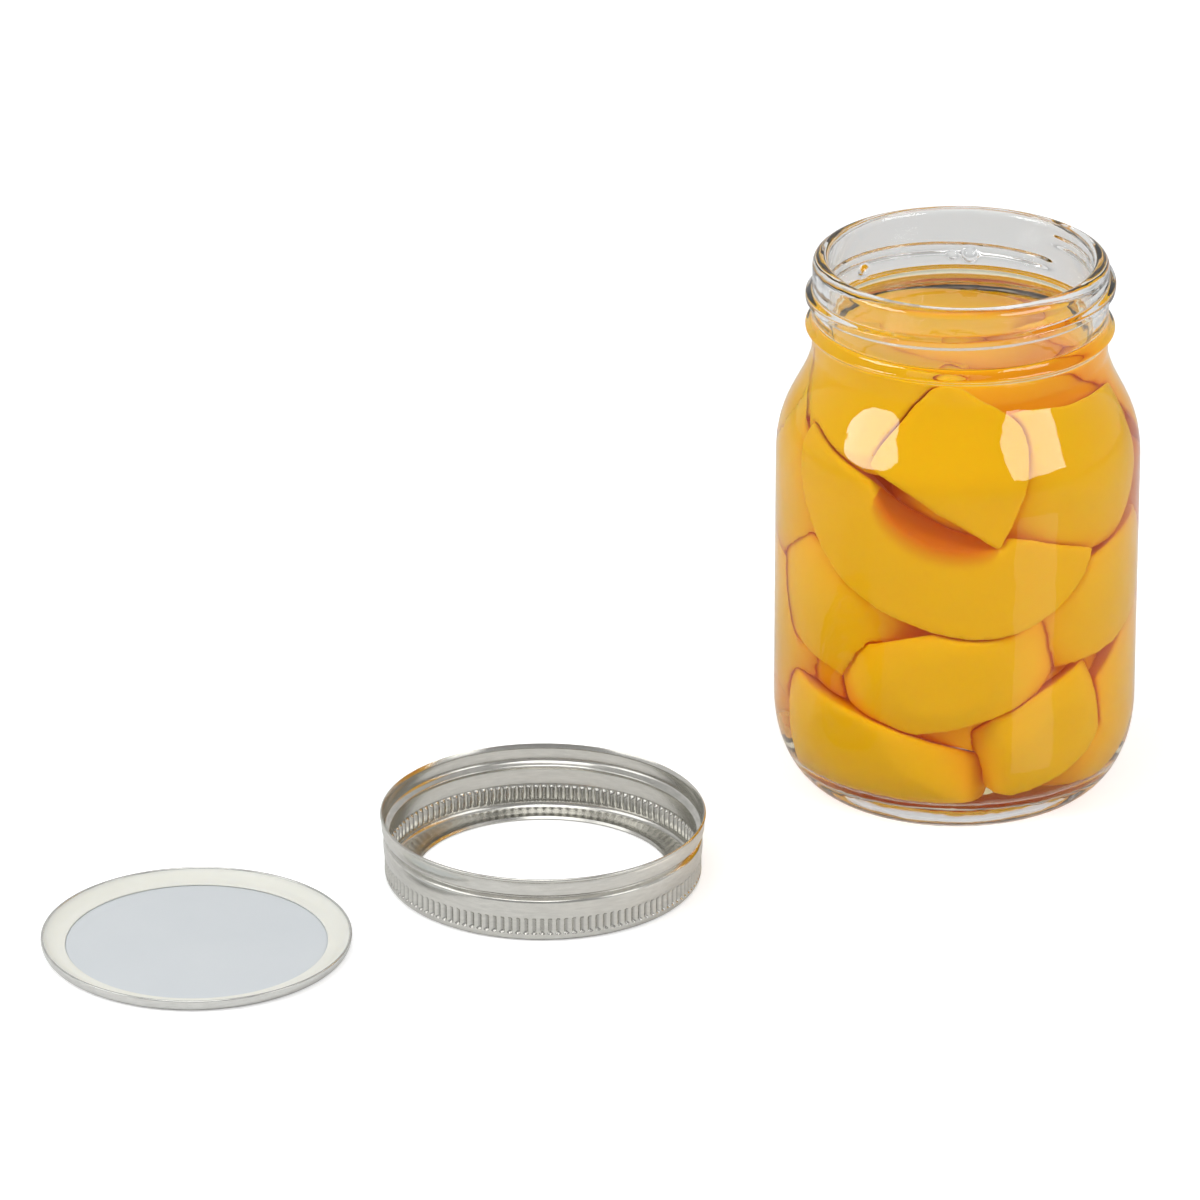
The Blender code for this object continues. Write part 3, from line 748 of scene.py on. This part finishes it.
def to_jar(spot, bearing, out, height, roll, tilt, turn, bend):
    """Takes a point of a fruit to its place in the jar, with the fruit bent round the glass or not."""
    x, y, z = slice_turn(roll, tilt, turn) @ spot
    radius = out * MM - y
    angle = math.radians(bearing)
    if bend:
        angle += x / WRAP_R
        x = 0.0
    cos, sin = math.cos(angle), math.sin(angle)
    return Vector((x * cos + radius * sin, x * sin - radius * cos, z + height * MM))


def to_fruit(spot, bearing, out, height, roll, tilt, turn, bend):
    """The way back from to_jar."""
    angle = math.radians(bearing)
    if bend:
        radius = math.hypot(spot.x, spot.y)
        around = math.atan2(spot.x, -spot.y) - angle
        x = ((around + math.pi) % math.tau - math.pi) * WRAP_R
    else:
        radius = spot.x * math.sin(angle) - spot.y * math.cos(angle)
        x = spot.x * math.cos(angle) + spot.y * math.sin(angle)
    turned = Vector((x, out * MM - radius, spot.z - height * MM))
    return slice_turn(roll, tilt, turn).transposed() @ turned


def slice_radii(share, stretch, stone):
    """Outer and inner radius of a slice's section, at share -1 to 1 of its length."""
    fullness = 2.3 * max(1.0, stretch**-2)
    outer = FRUIT_R * (1.0 - abs(share) ** fullness) ** 0.55
    across = share * stretch * FRUIT_HALF_LENGTH / STONE_HALF_LENGTH
    inner = STONE_R * stone * math.sqrt(1.0 - across * across) if abs(across) < 1.0 else 0.0
    return outer, max(inner, EDGE_R)


def slice_mesh(name, place, wedge, size, stretch, stone, grow, seed):
    """A wedge of fruit in its place in the jar, uneven as real fruit is, moved out by grow."""
    half = math.radians(wedge / 2)
    bm = bmesh.new()
    rings = []
    for i in range(SLICE_SECTIONS):
        # The sections lie closer together towards the tips.
        share = math.sin((i / (SLICE_SECTIONS - 1) - 0.5) * math.radians(162))
        x = share * FRUIT_HALF_LENGTH * stretch
        outer, inner = slice_radii(share, stretch, stone)
        skin = range(SLICE_SKIN_STEPS)
        face = range(SLICE_FACE_STEPS)
        hollow = range(SLICE_HOLLOW_STEPS)
        spots = [(outer, -half + 2 * half * k / SLICE_SKIN_STEPS) for k in skin]
        spots += [(outer + (inner - outer) * k / SLICE_FACE_STEPS, half) for k in face]
        spots += [(inner, half - 2 * half * k / SLICE_HOLLOW_STEPS) for k in hollow]
        spots += [(inner + (outer - inner) * k / SLICE_FACE_STEPS, -half) for k in face]
        ring = []
        for r, angle in spots:
            spot = Vector((x, -r * math.cos(angle), -r * math.sin(angle)))
            ring.append(bm.verts.new(spot * size))
        rings.append(ring)
    count = len(rings[0])
    for near, far in zip(rings, rings[1:]):
        for k in range(count):
            m = (k + 1) % count
            bm.faces.new((near[k], near[m], far[m], far[k]))
    bm.faces.new(list(reversed(rings[0])))
    bm.faces.new(rings[-1])
    bmesh.ops.recalc_face_normals(bm, faces=bm.faces)
    bm.normal_update()
    moves = []
    for vert in bm.verts:
        at = vert.co / SWELL_SIZE + Vector((seed * 3.7, seed * 1.3, 0.0))
        swell = SWELL * noise.noise(at) + FINE_SWELL * noise.noise(at * 2.6)
        moves.append((vert, vert.co + vert.normal * (grow + swell)))
    for vert, spot in moves:
        vert.co = JAR_AT + to_jar(spot, *place)
    mesh = bpy.data.meshes.new(name)
    bm.to_mesh(mesh)
    bm.free()
    return mesh


def scratch_object(name, mesh):
    piece = bpy.data.objects.new(name, mesh)
    bpy.context.scene.collection.objects.link(piece)
    return piece


def boxes_meet(first, second):
    corners = [o.bound_box for o in (first, second)]
    for k in range(3):
        lows = [min(c[k] for c in group) for group in corners]
        highs = [max(c[k] for c in group) for group in corners]
        if max(lows) > min(highs):
            return False
    return True


def cut(piece, cutter, operation):
    step = piece.modifiers.new(cutter.name, "BOOLEAN")
    step.operation = operation
    step.solver = "EXACT"
    step.object = cutter


def evaluated_mesh(piece):
    graph = bpy.context.evaluated_depsgraph_get()
    return bpy.data.meshes.new_from_object(piece.evaluated_get(graph), depsgraph=graph)


def tidy_slice(mesh, passes):
    """Keeps the mesh's biggest body and rounds its edges."""
    bm = bmesh.new()
    bm.from_mesh(mesh)
    bm.verts.ensure_lookup_table()
    owner = [-1] * len(bm.verts)
    sizes = []
    for start in range(len(bm.verts)):
        if owner[start] >= 0:
            continue
        owner[start] = len(sizes)
        body = [bm.verts[start]]
        for vert in body:
            for edge in vert.link_edges:
                other = edge.other_vert(vert)
                if owner[other.index] < 0:
                    owner[other.index] = len(sizes)
                    body.append(other)
        sizes.append(len(body))
    kept = sizes.index(max(sizes))
    bmesh.ops.delete(bm, geom=[v for v in bm.verts if owner[v.index] != kept], context="VERTS")
    for _ in range(passes):
        axes = {"use_axis_x": True, "use_axis_y": True, "use_axis_z": True}
        bmesh.ops.smooth_vert(bm, verts=bm.verts, factor=0.5, **axes)
    bm.to_mesh(mesh)
    bm.free()


def room_r(z):
    """The cavity's radius at a height above its floor's corner."""
    for r, height in ROOM:
        if height >= z:
            return r
    return MOUTH_R


def mark_fruit(mesh, place, size, stretch, stone):
    """Gives each vertex its place in the fruit, nearness to the stone and depth in the syrup."""
    fruit = mesh.attributes.new("fruit", "FLOAT_VECTOR", "POINT")
    pit = mesh.attributes.new("pit", "FLOAT", "POINT")
    depth = mesh.attributes.new("depth", "FLOAT", "POINT")
    for k, vert in enumerate(mesh.vertices):
        inside = vert.co - JAR_AT
        spot = to_fruit(inside, *place)
        fruit.data[k].vector = spot / MM
        share = spot.x / (FRUIT_HALF_LENGTH * stretch * size)
        hollow = slice_radii(max(-1.0, min(1.0, share)), stretch, stone)[1] * size
        off = math.hypot(spot.y, spot.z) - hollow
        bite = 1.0 if hollow > 2.0 * EDGE_R else 0.0
        pit.data[k].value = bite * max(0.0, min(1.0, 1.0 - off / PIT_BLEED))
        wall = room_r(inside.z) - math.hypot(inside.x, inside.y)
        depth.data[k].value = max(0.0, min(wall, SYRUP_LEVEL - inside.z)) / MM


def carved_slice(number, seed, row, room, earlier_room):
    """A slice cut to the jar and round the earlier ones, and the room that it takes itself."""
    place, shape = row[:7], row[7:]
    name = f"peach_slice_{number:02d}_fine"
    piece = scratch_object(name, slice_mesh(name, place, *shape, 0.0, seed))
    taken_name = f"room_for_{number:02d}"
    taken = scratch_object(taken_name, slice_mesh(taken_name, place, *shape, SLICE_GAP, seed))
    bpy.context.view_layer.update()
    cut(piece, room, "INTERSECT")
    for earlier in earlier_room:
        if boxes_meet(piece, earlier):
            cut(piece, earlier, "DIFFERENCE")
    remesh = piece.modifiers.new("remesh", "REMESH")
    remesh.mode = "VOXEL"
    remesh.voxel_size = SLICE_VOXEL
    mesh = evaluated_mesh(piece)
    piece.modifiers.clear()
    piece.data = mesh
    return piece, taken


def build_slices():
    surface = peach_material()
    top_z = SYRUP_LEVEL - 1.0 * MM
    room_outline = [(0.0, top_z), (MOUTH_R - 0.6 * MM, top_z)]
    room_outline += list(reversed(jar_inside(SLICE_GAP)))
    room_mesh = lathe("content_room", room_outline, 96)
    room_mesh.transform(Matrix.Translation(JAR_AT))
    room = scratch_object("content_room", room_mesh)
    earlier_room = []
    for number, row in enumerate(SLICES, start=1):
        for seed_step in SEED_STEPS:
            piece, taken = carved_slice(number, number + seed_step, row, room, earlier_room)
            if len(piece.data.vertices) > FEWEST_POINTS:
                break
            for failed in (piece, taken):
                bpy.data.objects.remove(failed)
        mesh = piece.data
        tidy_slice(mesh, SLICE_SMOOTHING)
        mark_fruit(mesh, row[:7], *row[8:])
        mesh.shade_smooth()
        mesh.materials.clear()
        mesh.materials.append(surface)
        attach(piece, "jar")
        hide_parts(f"peach_slice_{number:02d}")
        earlier_room.append(taken)
    for scratch in earlier_room + [room]:
        bpy.data.objects.remove(scratch, do_unlink=True)


# ---------------------------------------------------------------- screw band


def band_shift(r, z, angle):
    """The knurls of the band, measured with its lip up."""
    down = BAND_HEIGHT - z
    low, high = KNURL_SPAN
    if r < BAND_R - 3.0 * MM or down > high:
        return 0.0
    window = max(0.0, min(1.0, (down - low) / (0.5 * MM), (high - down) / (0.5 * MM)))
    return -KNURL_DEPTH * window * (0.5 + 0.5 * math.cos(KNURLS * angle))


def band_wall_r(z):
    """The wall's outer radius at a height, lip up: a roll, the thread groove, then a belly."""
    roll = ROLL_R - 0.3 * MM * ((z - ROLL_Z) / (2.0 * MM)) ** 2
    belly = BELLY_R - 0.2 * MM * ((z - BELLY_Z) / (2.4 * MM)) ** 2
    share = max(0.0, min(1.0, (z - GROOVE_Z + 0.35 * MM) / (0.7 * MM)))
    off = (z - GROOVE_Z) / GROOVE_HALF_WIDTH
    return roll + (belly - roll) * share - GROOVE_DEPTH * math.exp(-off * off)


def band_outline():
    top = BAND_HEIGHT
    lip = BAND_LIP_R
    knurl_r = KNURL_R
    corner = 1.9 * MM
    wall = [(band_wall_r(z), z) for _, z in run((0.0, 9.6 * MM), (0.0, 1.1 * MM), 64)]
    points = arc(lip + 0.45 * MM, top - 0.45 * MM, 0.45 * MM, 180, 90, 5)
    points += run((lip + 1.0 * MM, top), (31.5 * MM, top), 3)
    points += [(31.9 * MM, top - 0.12 * MM), (32.3 * MM, top - 0.02 * MM), (33.2 * MM, top)]
    points += arc(knurl_r - corner, top - corner, corner, 85, 0, 8)
    points += run((knurl_r, top - 2.1 * MM), (knurl_r, top - 5.9 * MM), 18)
    points += wall
    points += arc(BAND_R - 0.42 * MM, 0.46 * MM, 0.42 * MM, 60, -90, 9)
    inside = [(36.0 * MM, 0.3 * MM), (35.85 * MM, 0.8 * MM)]
    inside += [(r - BAND_SHEET, z) for r, z in reversed(wall)]
    inside += run((knurl_r - BAND_SHEET, top - 5.9 * MM), (knurl_r - BAND_SHEET, top - 2.1 * MM), 18)
    inside += arc(knurl_r - corner, top - corner, corner - BAND_SHEET, 0, 85, 6)
    inside += [(33.0 * MM, top - BAND_SHEET), (lip + 1.0 * MM, top - BAND_SHEET)]
    inside += [(lip + 0.7 * MM, top - 0.75 * MM), (lip + 0.4 * MM, top - 0.9 * MM)]
    return points + inside


def build_band():
    mesh = lathe("screw_band_fine", band_outline(), KNURLS * 7, band_shift)
    mesh.materials.append(tinplate_material("tinplate", (0.7, 0.69, 0.645), True))
    band = smooth_object("screw_band_fine", mesh, 50)
    flipped = Matrix.Rotation(math.pi, 4, "X")
    band.matrix_world = Matrix.Translation(BAND_AT + Vector((0.0, 0.0, BAND_HEIGHT))) @ flipped
    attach(band, "band")
    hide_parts("screw_band")
    return band


# ---------------------------------------------------------------- lid and sealing ring


def build_lid():
    panel_r = 28.6 * MM
    sheet = 0.35 * MM
    panel_z = 0.45 * MM
    channel_z = 0.5 * MM
    edge_r = 34.15 * MM
    edge_z = 2.66 * MM
    upper = [(0.0, panel_z + sheet)] + run((3.0 * MM, panel_z + sheet), (panel_r, panel_z + sheet), 8)
    panel_top = panel_z + sheet
    to_channel = ((panel_r + 0.6 * MM, panel_top), (29.3 * MM, channel_z), (30.0 * MM, channel_z))
    upper += cubic((panel_r, panel_top), *to_channel, 6)
    upper += [(32.0 * MM, channel_z)]
    up_wall = ((33.0 * MM, 0.55 * MM), (33.8 * MM, 1.2 * MM), (edge_r - 0.27 * MM, edge_z))
    upper += cubic((32.0 * MM, channel_z), *up_wall, 8)
    upper += arc(edge_r, edge_z, 0.3 * MM, 170, 0, 9)
    down_wall = ((34.5 * MM, 1.4 * MM), (34.0 * MM, 0.05 * MM), (32.1 * MM, 0.0))
    lower = cubic((edge_r + 0.3 * MM, edge_z), *down_wall, 12)
    lower += [(29.6 * MM, 0.0)]
    to_panel = ((29.1 * MM, 0.0), (29.1 * MM, panel_z), (28.4 * MM, panel_z))
    lower += cubic((29.6 * MM, 0.0), *to_panel, 6)
    outline = upper + lower + [(0.0, panel_z)]
    # Built from the top down, so the outline runs outwards on top and back underneath.
    mesh = lathe("lid_disc_fine", outline, 256)
    for face in mesh.polygons:
        middle_r = math.hypot(face.center.x, face.center.y)
        enamelled = middle_r < 29.4 * MM and face.center.z > 0.4 * MM and face.normal.z > 0.2
        face.material_index = 0 if enamelled else 1
    mesh.materials.append(enamel_material())
    mesh.materials.append(tinplate_material("lid_tinplate", (0.74, 0.74, 0.71)))
    lid = smooth_object("lid_disc_fine", mesh, 50)
    lid.location = LID_AT
    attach(lid, "lid")
    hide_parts("lid_disc")
    return lid


def build_seal():
    inner = (29.0 * MM, 1.0 * MM)
    middle = (31.6 * MM, 1.4 * MM)
    top = cubic(inner, (29.3 * MM, 1.35 * MM), (30.6 * MM, 1.1 * MM), middle, 8)
    top += cubic(middle, (32.6 * MM, 1.65 * MM), (33.4 * MM, 2.1 * MM), (33.85 * MM, 2.7 * MM), 6)
    under = [(33.8 * MM, 2.3 * MM), (33.2 * MM, 1.2 * MM), (31.7 * MM, 0.7 * MM)]
    under += [(30.0 * MM, 0.65 * MM), (29.05 * MM, 0.85 * MM)]
    mesh = lathe("sealing_ring_fine", top + under, 256)
    mesh.materials.append(compound_material())
    seal = smooth_object("sealing_ring_fine", mesh, 50)
    seal.location = LID_AT
    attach(seal, "lid")
    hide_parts("sealing_ring")


# ---------------------------------------------------------------- all of it

ROOM = [spot for spot in jar_inside() if spot[1] > 10.0 * MM]
bpy.context.scene.view_settings.view_transform = "Standard"
add_camera()
set_world()
jar_only, metal_only = add_lights()
add_floor()
add_table_glow()
jar_only.objects.link(build_jar())
build_syrup()
build_slices()
metal_only.objects.link(build_band())
metal_only.objects.link(build_lid())
build_seal()
